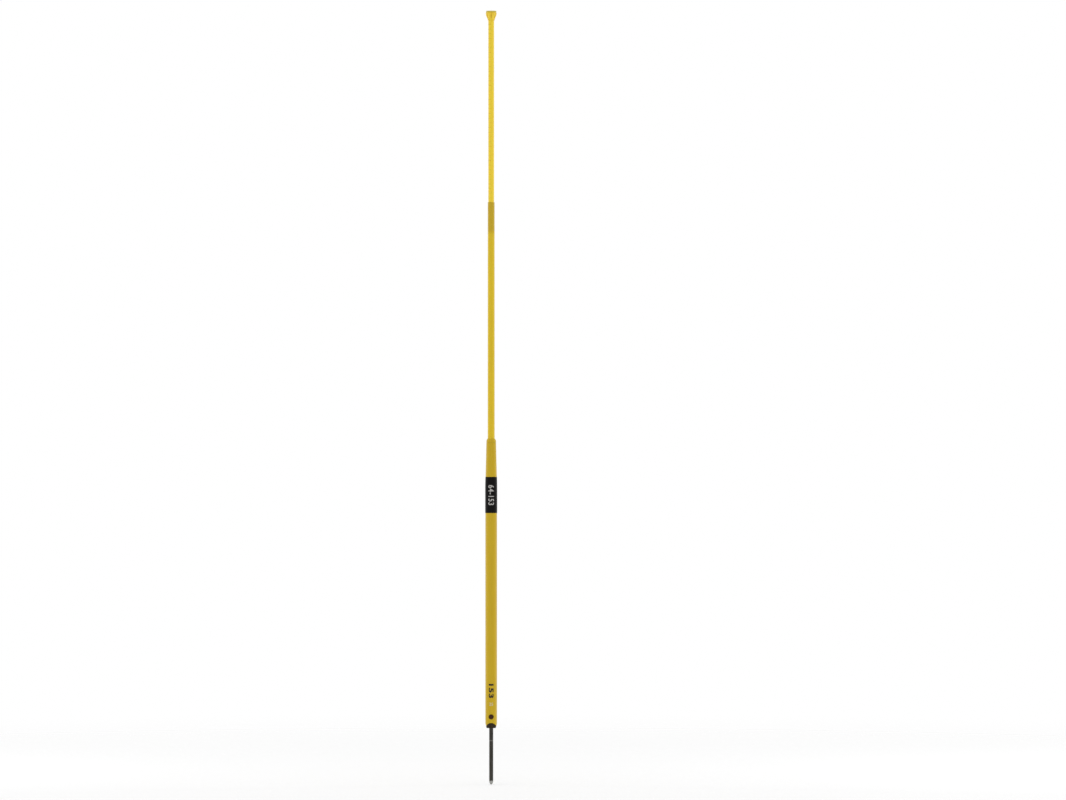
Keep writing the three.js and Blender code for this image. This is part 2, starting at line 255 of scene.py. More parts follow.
# A smooth step takes what it maps, where that starts and ends, and what comes out there if not 0 and 1.
SMOOTH = {"interpolation_type": "SMOOTHSTEP"}
# A mix of colours has its share at input 0, and its two colours at 6 and 7.
COLOURS = {"data_type": "RGBA"}


def linear(colour):
    """An sRGB hex value as a linear colour."""
    share = np.array([int(colour[first : first + 2], 16) for first in (1, 3, 5)]) / 255
    value = np.where(share <= 0.04045, share / 12.92, ((share + 0.055) / 1.055) ** 2.4)
    return (*value.tolist(), 1.0)


def feed(tree, node, inputs):
    """Gives a node's inputs, by name, by number or all in order, a value or a link. A node that is
    given stands for its first output in use."""
    for name, value in inputs.items() if isinstance(inputs, dict) else enumerate(inputs):
        if isinstance(value, bpy.types.Node):
            value = next(output for output in value.outputs if output.enabled)
        if isinstance(value, bpy.types.NodeSocket):
            tree.links.new(value, node.inputs[name])
        else:
            node.inputs[name].default_value = value


def add(tree, kind, inputs=(), **settings):
    """Adds a shader node of a kind, with its settings, and feeds its inputs."""
    made = tree.nodes.new("ShaderNode" + kind)
    for name, value in settings.items():
        setattr(made, name, value)
    feed(tree, made, inputs)
    return made


def spot_scale(across, along):
    """Scale for a pattern whose spots are a size in millimetres across the pole and a size along it."""
    return 1 / (across * MM), 1 / (across * MM), 1 / (along * MM)


def new_material(name, *patterns):
    """Material with a Principled shader, and its tree, its Object coordinates and its patterns: each a
    noise with a spot size in millimetres across the pole, one along it, and a fineness of detail."""
    material = bpy.data.materials.new(name)
    material.use_nodes = True
    tree = material.node_tree
    tree.nodes.clear()
    shader = add(tree, "BsdfPrincipled")
    add(tree, "OutputMaterial", {"Surface": shader})
    where = add(tree, "TexCoord").outputs["Object"]
    noises = []
    for across, along, detail in patterns:
        spots = add(tree, "Mapping", {"Vector": where, "Scale": spot_scale(across, along)})
        noises.append(add(tree, "TexNoise", {"Vector": spots, "Scale": 1, "Detail": detail}))
    return material, tree, shader, where, *noises


# Polypropylene lets a little light in, so its edges stay warm.
POLYPROPYLENE = {
    "IOR": 1.49,
    "Specular IOR Level": 0.3,
    "Subsurface Radius": (1.0, 0.6, 0.12),
    "Subsurface Scale": 2 * MM,
}


def extruded_polypropylene(name, colour, shade, dark_zone=None):
    """Extruded yellow tube: glossy, with faint drawn lines along it, a slight mottle, and fine rubbed
    streaks where one tube slides in the next. A dark zone is where the next tube stands behind the thin
    wall and stops the light: its top, the height over which it fades in, and its colour."""
    material, tree, shader, where, streak, mottle, fine = new_material(
        name, (0.7, 90, 2), (14, 60, 3), (0.35, 24, 3)
    )
    tone = add(tree, "Math", (streak, mottle), operation="ADD")
    light = add(tree, "MapRange", (tone, 0.6, 1.4), **SMOOTH)
    body = add(tree, "Mix", {0: light, 6: linear(shade), 7: linear(colour)}, **COLOURS)
    if dark_zone:
        top, fade, tint = dark_zone
        height = add(tree, "SeparateXYZ", {"Vector": where}).outputs["Z"]
        inside = add(tree, "MapRange", (height, (top - fade) * MM, top * MM), **SMOOTH)
        body = add(tree, "Mix", {0: inside, 6: body, 7: linear(tint)}, **COLOURS)
    rubbed = add(tree, "MapRange", (fine, 0.6, 0.75), **SMOOTH)
    look = {
        "Base Color": body,
        "Roughness": add(tree, "MapRange", (rubbed, 0, 1, 0.34, 0.46), **SMOOTH),
        "Normal": add(tree, "Bump", {"Height": streak, "Distance": 0.006 * MM}),
        "Subsurface Weight": 0.12,
        **POLYPROPYLENE,
    }
    feed(tree, shader, look)
    return material


def moulded_polypropylene(name, colour, shade, shade_painter=None):
    """Injection-moulded yellow piece: satin, with a fine spark-eroded grain and slight flow marks. A
    function, if given, lays painted shade over its colour."""
    material, tree, shader, where, pits, flow = new_material(name, (0.3, 0.3, 1), (5, 9, 3))
    light = add(tree, "MapRange", (flow, 0.35, 0.65), **SMOOTH)
    body = add(tree, "Mix", {0: light, 6: linear(shade), 7: linear(colour)}, **COLOURS)
    if shade_painter:
        body = shade_painter(tree, where, body)
    look = {
        "Base Color": body,
        "Roughness": add(tree, "MapRange", (pits, *NOISE_SPAN, 0.36, 0.46), **SMOOTH),
        "Normal": add(tree, "Bump", {"Height": pits, "Distance": 0.01 * MM}),
        "Subsurface Weight": 0.1,
        **POLYPROPYLENE,
    }
    feed(tree, shader, look)
    return material


# Painted shade on the cap, with heights from under its rim and a radius inside and outside of its edge
FLUTE_SHADE_LOW = -17
FLUTE_SHADE_FULL_LOW = -10
FLUTE_SHADE_FULL_HIGH = -9
FLUTE_SHADE_HIGH = -1
FLUTE_SHADE_WIDTH_SHARES = (0.04, 0.34)
RIM_SIDE_RADII = (9.9, 10.7)
RIM_FADE = 0.3
RIM_SHADE_ACROSS = 3
RIM_SHADE_ALONG = 2


def cap_painted_shade(tree, where, body):
    """Each flute has a brown line of painted shade, as wide as a share of the sine that makes the
    flutes, and fading up and down. The side of the rim has a little greyer painted shade, in mottled
    spots."""
    under_rim = cap_high[2] - CAP_RIM_HEIGHT
    spot = add(tree, "SeparateXYZ", {"Vector": where}).outputs
    turn = add(tree, "Math", (spot["X"], spot["Y"]), operation="ARCTAN2")
    wave = add(tree, "Math", (turn, CAP_FLUTES / 2), operation="MULTIPLY")
    sine = add(tree, "Math", (wave,), operation="SINE")
    from_flute = add(tree, "Math", (sine,), operation="ABSOLUTE")
    line = add(tree, "MapRange", (from_flute, *FLUTE_SHADE_WIDTH_SHARES, 1, 0), **SMOOTH)
    rise = ((under_rim + FLUTE_SHADE_LOW) * MM, (under_rim + FLUTE_SHADE_FULL_LOW) * MM)
    fall = ((under_rim + FLUTE_SHADE_FULL_HIGH) * MM, (under_rim + FLUTE_SHADE_HIGH) * MM)
    above_foot = add(tree, "MapRange", (spot["Z"], *rise), **SMOOTH)
    below_rim = add(tree, "MapRange", (spot["Z"], *fall, 1, 0), **SMOOTH)
    reach = add(tree, "Math", (above_foot, below_rim), operation="MULTIPLY")
    flute_shade = add(tree, "Math", (reach, line), operation="MULTIPLY")
    # painted shade: a brown line down each flute
    body = add(tree, "Mix", {0: flute_shade, 6: body, 7: linear("#946000")}, **COLOURS)

    flat = add(tree, "VectorMath", (where, (1, 1, 0)), operation="MULTIPLY")
    from_axis = add(tree, "VectorMath", (flat,), operation="LENGTH")
    outside = add(tree, "MapRange", (from_axis, *(radius * MM for radius in RIM_SIDE_RADII)), **SMOOTH)
    edge = ((under_rim - RIM_FADE) * MM, (under_rim + RIM_FADE) * MM)
    above_body = add(tree, "MapRange", (spot["Z"], *edge), **SMOOTH)
    rim_side = add(tree, "Math", (outside, above_body), operation="MULTIPLY")
    # painted shade: the side of the rim greyer, in mottled spots
    spots = add(tree, "Mapping", {"Vector": where, "Scale": spot_scale(RIM_SHADE_ACROSS, RIM_SHADE_ALONG)})
    cloud = add(tree, "TexNoise", {"Vector": spots, "Scale": 1, "Detail": 3})
    rim_mottle = add(tree, "MapRange", (cloud, *NOISE_SPAN), **SMOOTH)
    grey = add(tree, "Mix", {0: rim_mottle, 6: linear("#CEBC50"), 7: linear("#B6A546")}, **COLOURS)
    return add(tree, "Mix", {0: rim_side, 6: body, 7: grey}, **COLOURS)


def shrunk_film(name):
    """Black film shrunk on the tube: satin, with slight waves from the heat and faint dust."""
    material, tree, shader, _, wave, fine = new_material(name, (3.5, 7, 2), (0.5, 0.5, 3))
    dust = add(tree, "MapRange", (fine, 0.62, 0.78), **SMOOTH)
    look = {
        "Base Color": add(tree, "Mix", {0: dust, 6: linear("#0D0B0B"), 7: linear("#161416")}, **COLOURS),
        "Roughness": add(tree, "MapRange", (wave, *NOISE_SPAN, 0.36, 0.5), **SMOOTH),
        "Normal": add(tree, "Bump", {"Height": wave, "Distance": 0.05 * MM}),
        "IOR": 1.5,
        "Specular IOR Level": 0.08,
    }
    feed(tree, shader, look)
    return material


def printed_ink(name, colour, worn):
    """Screen-printed ink: matt, with pinholes and thin places where the colour behind comes through."""
    material, tree, shader, _, fine = new_material(name, (0.6, 0.6, 4))
    thin = add(tree, "MapRange", (fine, 0.56, 0.72), **SMOOTH)
    body = add(tree, "Mix", {0: thin, 6: linear(colour), 7: linear(worn)}, **COLOURS)
    feed(tree, shader, {"Base Color": body, "Roughness": 0.6, "IOR": 1.45})
    return material


def moulded_nylon(name, colour, bloomed):
    """Dark glass-filled nylon: matt, with a spark-eroded grain and a slight pale bloom of fibres."""
    material, tree, shader, _, pits, cloud = new_material(name, (0.35, 0.35, 2), (4, 4, 4))
    bloom = add(tree, "MapRange", (cloud, 0.45, 0.7), **SMOOTH)
    look = {
        "Base Color": add(tree, "Mix", {0: bloom, 6: linear(colour), 7: linear(bloomed)}, **COLOURS),
        "Roughness": add(tree, "MapRange", (pits, *NOISE_SPAN, 0.46, 0.62), **SMOOTH),
        "Normal": add(tree, "Bump", {"Height": pits, "Distance": 0.03 * MM}),
        "IOR": 1.53,
        "Specular IOR Level": 0.15,
    }
    feed(tree, shader, look)
    return material


# Bare end of the spike: how far up it is bare, how far it fades, and how uneven its edge is
BARE_TIP_HEIGHT = 9
BARE_TIP_FADE = 2.5
BARE_TIP_WANDER = 5
RING_BARE_SHARE = 0.3


def blackened_steel(name):
    """Drawn steel rod with a black oxide finish: dark olive grey, with fine lines along it, a bright
    ring rubbed through it, and a bare tip. The tip and a few scratches show the bright steel."""
    material, tree, shader, where, lines, cloud, fine = new_material(
        name, (0.3, 45, 2), (6, 16, 3), (0.22, 18, 4)
    )
    height = add(tree, "SeparateXYZ", {"Vector": where}).outputs["Z"]
    patchy = add(tree, "MapRange", (cloud, *NOISE_SPAN), **SMOOTH)
    oxide = add(tree, "Mix", {0: patchy, 6: linear("#3B3A35"), 7: linear("#464440")}, **COLOURS)
    scratch = add(tree, "MapRange", (fine, 0.66, 0.72, 0, 0.5), **SMOOTH)
    wander = add(tree, "Math", (cloud, BARE_TIP_WANDER * MM, height), operation="MULTIPLY_ADD")
    bare_top = spike_low[2] + BARE_TIP_HEIGHT
    tip_span = (bare_top * MM, (bare_top + BARE_TIP_FADE) * MM)
    tip = add(tree, "MapRange", (wander, *tip_span, 1, 0), **SMOOTH)
    ring_span = (height, SPIKE_RING_HEIGHT * MM, SPIKE_RING_HALF * MM)
    on_ring = add(tree, "Math", ring_span, operation="COMPARE")
    worn = add(tree, "Math", (on_ring, RING_BARE_SHARE, scratch), operation="MULTIPLY_ADD")
    bare = add(tree, "Math", (worn, tip), operation="MAXIMUM", use_clamp=True)
    look = {
        "Base Color": add(tree, "Mix", {0: bare, 6: oxide, 7: linear("#A8A8A4")}, **COLOURS),
        "Roughness": add(tree, "MapRange", (lines, *NOISE_SPAN, 0.36, 0.5), **SMOOTH),
        "Normal": add(tree, "Bump", {"Height": lines, "Distance": 0.02 * MM}),
        "Metallic": 1,
    }
    feed(tree, shader, look)
    return material


def bright_steel(name):
    """Bright drawn wire and pin: smooth, with faint fine marks."""
    material, tree, shader, _, marks = new_material(name, (0.2, 0.2, 2))
    tone = add(tree, "Mix", {0: marks, 6: linear("#9E9E9A"), 7: linear("#BDBDB8")}, **COLOURS)
    look = {
        "Base Color": tone,
        "Roughness": add(tree, "MapRange", (marks, *NOISE_SPAN, 0.22, 0.34), **SMOOTH),
        "Metallic": 1,
    }
    feed(tree, shader, look)
    return material


# The three tubes are one plastic in tones of painted light and shade: the thin upper tube is paler with
# painted light that comes through its wall, the wide tube is darker with painted shade, and the middle
# tube has painted shade where the upper one stands behind its wall.
DARK_ZONE_RISE = 3
DARK_ZONE_FADE = 13

dark_zone = (upper_low[2] + DARK_ZONE_RISE, DARK_ZONE_FADE, "#C1A21A")
yellow_wide = extruded_polypropylene("extruded_yellow_painted_shade", "#C6A612", "#C0A010")
yellow_middle = extruded_polypropylene("extruded_yellow", "#DABB1E", "#D4B41A", dark_zone)
yellow_upper = extruded_polypropylene("extruded_yellow_painted_light", "#EFD036", "#E9CA32")
yellow_cap = moulded_polypropylene("moulded_yellow", "#ECCC38", "#E4C230", cap_painted_shade)
yellow_bush = moulded_polypropylene("moulded_yellow_deep", "#C6A614", "#C0A012")
black_film = shrunk_film("black_film")
pale_ink = printed_ink("pale_ink", "#B4B2AE", "#5A585A")
faded_ink = printed_ink("faded_ink", "#CECABC", "#C6B668")
dark_ink = printed_ink("dark_ink", "#180D05", "#3E2C0C")
scale_ink = printed_ink("scale_ink", "#B4941E", "#C4A628")
black_nylon = moulded_nylon("black_nylon", "#281E0F", "#342817")
brown_nylon = moulded_nylon("brown_nylon", "#3A1E0A", "#46280F")
dark_steel = blackened_steel("black_oxide_steel")
wire_steel = bright_steel("bright_steel")


# Bottom section: the wide tube

TUBE_WALL = 1.6
NECK_LENGTH = 100
NECK_EASE_SHARE = 0.05
FOOT_EDGE_WALL = 0.4
FOOT_ROUND_HEIGHT = 6.7
FOOT_ROUND_POWER = 1.75
NOTCH_RADIUS = 11.6
NOTCH_APEX = 11.2
NOTCH_TRIES = 40
FOOT_ROWS = 16
FOOT_ROW_POWER = 1.3
HOLE_GAP = 0.3
HOLE_BLOCK_HALF = 8.5
HOLE_BLOCK_COLUMNS = 20
HOLE_BLOCK_ROWS = 12
HOLE_RINGS = 7
HOLE_RING_POWER = 1.4
NECK_BEND_HALF = 40
NECK_BEND_ROWS = 17
MOUTH_STRAIGHT = 1

tube_radius = tube_high[0]
bore_radius = tube_radius - TUBE_WALL
neck_radius = bush_high[0]
tube_foot = tube_low[2]
tube_top = tube_high[2]
neck_start = bush_high[2] - NECK_LENGTH
notch_centre = NOTCH_APEX - NOTCH_RADIUS
button_radius = button_high[0]
button_height = (button_low[2] + button_high[2]) / 2
hole_radius = button_radius + HOLE_GAP


def drawn_in(height):
    """How far the tube is drawn in at a height: nothing, then straight to the mouth, on a curve that
    starts softly."""
    share = (height - neck_start) / (tube_top - neck_start)
    eased = (share + np.sqrt(share**2 + NECK_EASE_SHARE**2)) / 2
    full = (1 + math.sqrt(1 + NECK_EASE_SHARE**2)) / 2
    return (tube_radius - neck_radius) * eased / full


def foot_radius(height):
    """Outer radius near the foot: full at the top of the rounding, and below it less on a power of the
    way down."""
    share = np.clip((height - tube_foot) / FOOT_ROUND_HEIGHT, 0, 1)
    depth = tube_radius - bore_radius - FOOT_EDGE_WALL
    return tube_radius - depth * (1 - share) ** FOOT_ROUND_POWER


def notch_edge(radius_at, turn, lowest, gap=0):
    """Height of the arched notch's edge on a wall, or of what stands a gap inside it. It is found by
    going back and forth between the wall's radius at a height and the arch's height at that radius, and
    is never under the lowest height."""
    height = np.full_like(turn, NOTCH_APEX)
    for _ in range(NOTCH_TRIES):
        across = radius_at(height) * np.sin(turn)
        arch = notch_centre + np.sqrt(np.maximum((NOTCH_RADIUS - gap) ** 2 - across**2, 0))
        height = np.maximum(lowest, (height + arch) / 2)
    return height


def quarter():
    """Angles of a quarter turn as a column, for a rounded edge."""
    return np.linspace(0, math.pi / 2, EDGE_POINTS)[:, None]


def tube_walls():
    """The wide tube as grids: from the arched foot up to a block round the button's hole, the block
    itself as rings that go from the hole's round edge to the block's straight sides, and the long
    stretch above it. Outer and inner skins share their turns, and a rounded rim joins them."""
    turn = full_turn()
    step = turn[1] - turn[0]
    block_low = button_height - HOLE_BLOCK_HALF
    block_high = button_height + HOLE_BLOCK_HALF
    block_turn = HOLE_BLOCK_COLUMNS * step
    inner = np.full_like(turn, bore_radius)
    share = np.linspace(0, 1, FOOT_ROWS)[:, None] ** FOOT_ROW_POWER

    outer_edge = notch_edge(foot_radius, turn, tube_foot)
    inner_edge = notch_edge(lambda height: np.full_like(height, bore_radius), turn, tube_foot)
    outer_start = outer_edge + EDGE_ROUNDING
    inner_start = inner_edge + EDGE_ROUNDING
    outer_rise = outer_start + (block_low - outer_start) * share
    inner_rise = inner_start + (block_low - inner_start) * share
    patches = [
        (around(foot_radius(outer_rise), turn[None], outer_rise), True),
        (around(inner[None], turn[None], inner_rise), True),
    ]

    arc = quarter()
    outer_rim = foot_radius(outer_start) - EDGE_ROUNDING * (1 - np.cos(arc))
    inner_rim = inner + EDGE_ROUNDING * (1 - np.sin(arc))
    outer_end = outer_start - EDGE_ROUNDING * np.sin(arc)
    inner_end = inner_start - EDGE_ROUNDING * np.cos(arc)
    rim = around(np.vstack([outer_rim, inner_rim]), turn[None], np.vstack([outer_end, inner_end]))
    patches.append((rim, True))

    beside = turn[(turn > block_turn - step / 2) | (turn < -block_turn + step / 2)]
    beside = np.sort(np.mod(beside, 2 * math.pi))
    rows = np.linspace(block_low, block_high, HOLE_BLOCK_ROWS + 1)[:, None]
    for radius in (tube_radius, bore_radius):
        patches.append((around(radius, beside[None], rows), False))

    up = rows[:, 0]
    across = np.arange(-HOLE_BLOCK_COLUMNS, HOLE_BLOCK_COLUMNS + 1) * step
    loop_turn = np.concatenate(
        [across[:-1], np.full(len(up) - 1, across[-1]), across[:0:-1], np.full(len(up) - 1, across[0])]
    )
    loop_height = np.concatenate(
        [np.full(len(across) - 1, up[0]), up[:-1], np.full(len(across) - 1, up[-1]), up[:0:-1]]
    )
    round_hole = np.arctan2(loop_height - button_height, loop_turn * tube_radius)
    lip = hole_radius + EDGE_ROUNDING
    out = np.linspace(0, 1, HOLE_RINGS + 1)[:, None] ** HOLE_RING_POWER
    for radius in (tube_radius, bore_radius):
        lip_turn = np.arcsin(lip * np.cos(round_hole) / radius)
        lip_height = button_height + lip * np.sin(round_hole)
        ring_turn = lip_turn + (loop_turn - lip_turn) * out
        ring_height = lip_height + (loop_height - lip_height) * out
        patches.append((around(radius, ring_turn, ring_height), True))

    lip_reach = lip - EDGE_ROUNDING * np.vstack([np.sin(arc), np.cos(arc)])
    lip_depth = EDGE_ROUNDING * np.vstack([1 - np.cos(arc), np.sin(arc) - 1])
    wall = np.vstack([np.full_like(arc, tube_radius), np.full_like(arc, bore_radius)])
    lip_across = lip_reach * np.cos(round_hole)
    lip_front = -(np.sqrt(wall**2 - lip_across**2) - lip_depth)
    lip_up = button_height + lip_reach * np.sin(round_hole)
    patches.append((np.stack([lip_across, lip_front, lip_up], -1), True))

    bend = np.linspace(neck_start - NECK_BEND_HALF, neck_start + NECK_BEND_HALF, NECK_BEND_ROWS)
    heights = np.concatenate([[block_high], bend, [tube_top - EDGE_ROUNDING]])
    profile = np.stack([tube_radius - drawn_in(heights), heights], -1)
    profile[0, 0] = tube_radius
    mouth = outline(
        [
            (profile[-1, 0], heights[-1] - MOUTH_STRAIGHT, 0),
            (neck_radius, tube_top, EDGE_ROUNDING),
            (neck_radius - TUBE_WALL, tube_top, EDGE_ROUNDING),
            (neck_radius - TUBE_WALL, heights[-1] - MOUTH_STRAIGHT, 0),
        ]
    )
    inside = profile[::-1] - [TUBE_WALL, 0]
    patches.append(turned(np.vstack([profile[:-1], mouth[1:-1], inside[1:]])))
    return patches


wide_tube = surface("wide_tube", *tube_walls())
place(wide_tube, "bottom_section", "yellow_tube", yellow_wide, "bottom_tube")


# Bottom section: the bush and the band

BUSH_FLANGE = 8.5
SHOULDER_REACH = 2.3
SHOULDER_HEIGHT = 7
SHOULDER_POWER = 2.2
SHOULDER_POINTS = 16
BAND_GAP = 0.1
BAND_ROWS = 45
BAND_EDGE = 0.6
BAND_EDGE_SHARE = 0.35
BAND_LAP_HALF_TURN = 0.22
BAND_LAP_SOFTNESS = 0.008
BAND_LAP_STEP = 0.07

bush_bore = middle_high[0] + SLIDING_GAP
bush_skirt_top = neck_radius - TUBE_WALL - SEAT_GAP
bush_skirt_foot = tube_radius - drawn_in(bush_low[2]) - TUBE_WALL - SEAT_GAP
flange_bottom = bush_high[2] - BUSH_FLANGE


def mouth_shoulder():
    """Turned bush: a skirt inside the neck, a flange on the tube's end, and a round shoulder that comes
    in on a power of its height to the bore."""
    rise = np.linspace(0, 1, SHOULDER_POINTS)[:-1]
    shoulder = np.stack(
        [
            neck_radius - SHOULDER_REACH * rise**SHOULDER_POWER,
            bush_high[2] - SHOULDER_HEIGHT * (1 - rise),
            0 * rise,
        ],
        -1,
    )
    profile = outline(
        [
            (bush_bore, bush_low[2], EDGE_ROUNDING),
            (bush_skirt_foot, bush_low[2], SOFT_EDGE),
            (bush_skirt_top, flange_bottom, 0),
            (neck_radius, flange_bottom, FINE_EDGE),
            *shoulder,
            (neck_radius - SHOULDER_REACH, bush_high[2], SOFT_EDGE),
            (bush_bore, bush_high[2], FINE_EDGE),
        ]
    )
    return surface("mouth_shoulder", turned(ring(profile)))


place(mouth_shoulder(), "bottom_section", "yellow_moulding", yellow_bush, "mouth_bush")


def film_sleeve():
    """The band's film as a ring carried round the tube. Its outside steps up where its ends lap at the
    back, on a smooth step of the turn. Towards its edges it thins, on the root of the way to them."""
    turn = full_turn()
    heights = np.linspace(band_low[2], band_high[2], BAND_ROWS)
    from_edge = np.minimum(heights - heights[0], heights[-1] - heights)
    thinning = BAND_EDGE_SHARE + (1 - BAND_EDGE_SHARE) * np.sqrt(np.clip(from_edge / BAND_EDGE, 0, 1))
    inside = tube_radius - drawn_in(heights) + BAND_GAP
    from_back = math.pi - np.abs(turn)
    lap = 1 / (1 + np.exp((from_back - BAND_LAP_HALF_TURN) / BAND_LAP_SOFTNESS))
    thickness = band_high[0] - tube_radius - BAND_GAP - BAND_LAP_STEP * (1 - lap)
    outside = inside[:, None] + thinning[:, None] * thickness
    outer = around(outside, turn[None], heights[:, None])
    inner = around(inside[::-1, None], turn[None], heights[::-1, None])
    return np.concatenate([outer, inner, outer[:1]]), True


place(surface("film_band", film_sleeve()), "bottom_section", "black_film", black_film, "band_sleeve")


# Bottom section: the spike, its plug and the pin

SPIKE_TIP_LENGTH = 9
SPIKE_TIP_FLAT = 1.3
SPIKE_TIP_POWER = 2.6
SPIKE_TIP_BLUNTNESS = 0.8
SPIKE_TIP_POINTS = 24
SPIKE_GROOVE = 0.06
SPIKE_GROOVE_POINTS = 9
SPIKE_TOP_BEVEL = 1
BAR_SIDES = 96
PIN_SIDES = 64
PIN_BEVEL_SHARE = 0.25
PLUG_FOOT_RADIUS = 9.45
PLUG_FOOT_ROUNDING = 0.6
PLUG_TOP_BEVEL = 0.5
PLUG_ROWS = 14
PLUG_CORE_RADIUS = 6.7
PLUG_CORE_DEPTH = 7
LUG_START = 1.8
LUG_GAP = 0.3
BUTTON_TRAVEL = 2.5
EAR_HALF_WIDTH = 2.7

spike_radius = spike_high[0]
socket_radius = spike_radius + SEAT_GAP
plug_radius = bore_radius - SEAT_GAP
pin_radius = pin_high[1]
pin_height = (pin_low[2] + pin_high[2]) / 2
crown = -button_low[1]
skirt_end = -button_high[1]
pocket_floor = skirt_end - BUTTON_TRAVEL - LUG_GAP
ear_tip = (button_high[2] - button_low[2]) / 2


def rod(name, radius, low, high):
    """Plain round bar along Z, for cutting."""
    profile = np.array([(0, low), (radius, low), (radius, high), (0, high)])
    return surface(name, turned(profile, BAR_SIDES))


def cross_bar(name, radius, half_length):
    """Round bar along X at the pin's height, with bevelled ends."""
    bevel = radius * PIN_BEVEL_SHARE
    profile = np.array(
        [
            (0, -half_length),
            (radius - bevel, -half_length),
            (radius, bevel - half_length),
            (radius, half_length - bevel),
            (radius - bevel, half_length),
            (0, half_length),
        ]
    )
    return surface(name, laid_across(turned(profile, PIN_SIDES), pin_height))


def front_bar(name, radius, reach, depth):
    """Round bar along Y from the front reach in to a depth, at the button's height."""
    profile = np.array([(0, depth), (radius, depth), (radius, reach), (0, reach)])
    return surface(name, laid_forward(turned(profile, BAR_SIDES), button_height))


def block(name, low, high):
    """Box between two corners, as one ring of four edges with its ends closed."""
    ends = np.array([[low[2], low[2], high[2], high[2]]]).T
    centre = (np.array(low) + high) / 2
    half = (np.array(high) - low) / 2
    reach = np.array([[0, 1, 1, 0]]).T
    x = centre[0] + reach * half[0] * np.array([[-1, 1, 1, -1]])
    y = centre[1] + reach * half[1] * np.array([[-1, -1, 1, 1]])
    return surface(name, (np.stack(np.broadcast_arrays(x, y, ends), -1), True))


def plug_skin():
    """The plug as rings round its axis. Each ring is a share of the way up to the edge of the notch, on
    the tube's rounded outline less the seat's gap, then steps in to the bore and goes up inside."""
    turn = full_turn()

    def lug_radius(height):
        rise = np.clip((height - LUG_START) / (tube_foot - LUG_START), 0, 1)
        low_part = plug_radius + (foot_radius(tube_foot) - SEAT_GAP - plug_radius) * rise
        return np.where(height < tube_foot, low_part, foot_radius(height) - SEAT_GAP)

    edge = notch_edge(lug_radius, turn, LUG_START + EDGE_ROUNDING, LUG_GAP)
    share = np.linspace(0, 1, PLUG_ROWS)[:, None]
    rise = LUG_START + (edge - EDGE_ROUNDING - LUG_START) * share
    arc = quarter()
    corner = lug_radius(edge - EDGE_ROUNDING)
    top_radius = np.maximum(corner - EDGE_ROUNDING * (1 - np.cos(arc)), plug_radius)
    top_height = edge - EDGE_ROUNDING + EDGE_ROUNDING * np.sin(arc)
    foot = outline(
        [
            (0, plug_low[2], 0),
            (PLUG_FOOT_RADIUS, plug_low[2], PLUG_FOOT_ROUNDING),
            (plug_radius, LUG_START, 0),
        ]
    )[:-1]
    top = plug_high[2]
    rest = np.array([(plug_radius, top - PLUG_TOP_BEVEL), (plug_radius - PLUG_TOP_BEVEL, top), (0, top)])
    radii = np.vstack(
        [
            np.repeat(foot[:, :1], len(turn), 1),
            lug_radius(rise),
            top_radius[1:],
            np.full((1, len(turn)), plug_radius),
            np.repeat(rest[:, :1], len(turn), 1),
        ]
    )
    heights = np.vstack(
        [
            np.repeat(foot[:, 1:], len(turn), 1),
            rise,
            top_height[1:],
            edge[None],
            np.repeat(rest[:, 1:], len(turn), 1),
        ]
    )
    return around(radii, turn[None], heights), True


def spike_holder():
    """The plug with its spike socket, its cored top, the button's pocket with slots for the button's
    ears, and the hole of the cross pin."""
    reach = tube_radius + TUBE_WALL
    ear_slot = block(
        "ear_slot",
        (-EAR_HALF_WIDTH - HOLE_GAP, -reach, button_height - ear_tip - HOLE_GAP),
        (EAR_HALF_WIDTH + HOLE_GAP, -pocket_floor, button_height + ear_tip + HOLE_GAP),
    )
    cutters = [
        rod("socket", socket_radius, -TUBE_WALL, spike_high[2] + SEAT_GAP),
        rod("core", PLUG_CORE_RADIUS, plug_high[2] - PLUG_CORE_DEPTH, plug_high[2] + TUBE_WALL),
        front_bar("pocket", hole_radius, reach, pocket_floor),
        ear_slot,
        cross_bar("pin_hole", pin_radius + SEAT_GAP, reach),
    ]
    return carve(surface("spike_holder", plug_skin()), cutters)


def spike_rod():
    """Turned rod with a blunt bullet tip, a shallow ring rubbed round it, and a bevelled top end. The
    tip widens from its flat by a power of one less a power of the way down to it, and the ring is as
    deep as the squared cosine of its height."""
    rise = np.linspace(0, 1, SPIKE_TIP_POINTS)
    widening = (1 - (1 - rise) ** SPIKE_TIP_POWER) ** SPIKE_TIP_BLUNTNESS
    tip_radius = SPIKE_TIP_FLAT + (spike_radius - SPIKE_TIP_FLAT) * widening
    tip = np.stack([tip_radius, spike_low[2] + SPIKE_TIP_LENGTH * rise], -1)
    across = np.linspace(-1, 1, SPIKE_GROOVE_POINTS)
    groove_radius = spike_radius - SPIKE_GROOVE * np.cos(across * math.pi / 2) ** 2
    groove = np.stack([groove_radius, SPIKE_RING_HEIGHT + SPIKE_RING_HALF * across], -1)
    top = spike_high[2]
    end = [(spike_radius, top - SPIKE_TOP_BEVEL), (spike_radius - SPIKE_TOP_BEVEL, top), (0, top)]
    profile = np.vstack([[(0, spike_low[2])], tip, groove, end])
    pin_bore = cross_bar("pin_bore", pin_radius + SEAT_GAP, spike_radius + TUBE_WALL)
    return carve(surface("spike_rod", turned(profile, BAR_SIDES)), [pin_bore])


place(spike_holder(), "bottom_section", "black_moulding", black_nylon, "spike_plug")
place(spike_rod(), "bottom_section", "dark_steel", dark_steel, "spike")
cross_pin = cross_bar("cross_pin", pin_radius, pin_high[0])
place(cross_pin, "bottom_section", "spring_steel", wire_steel, "spike_pin")


# The snap button and its spring

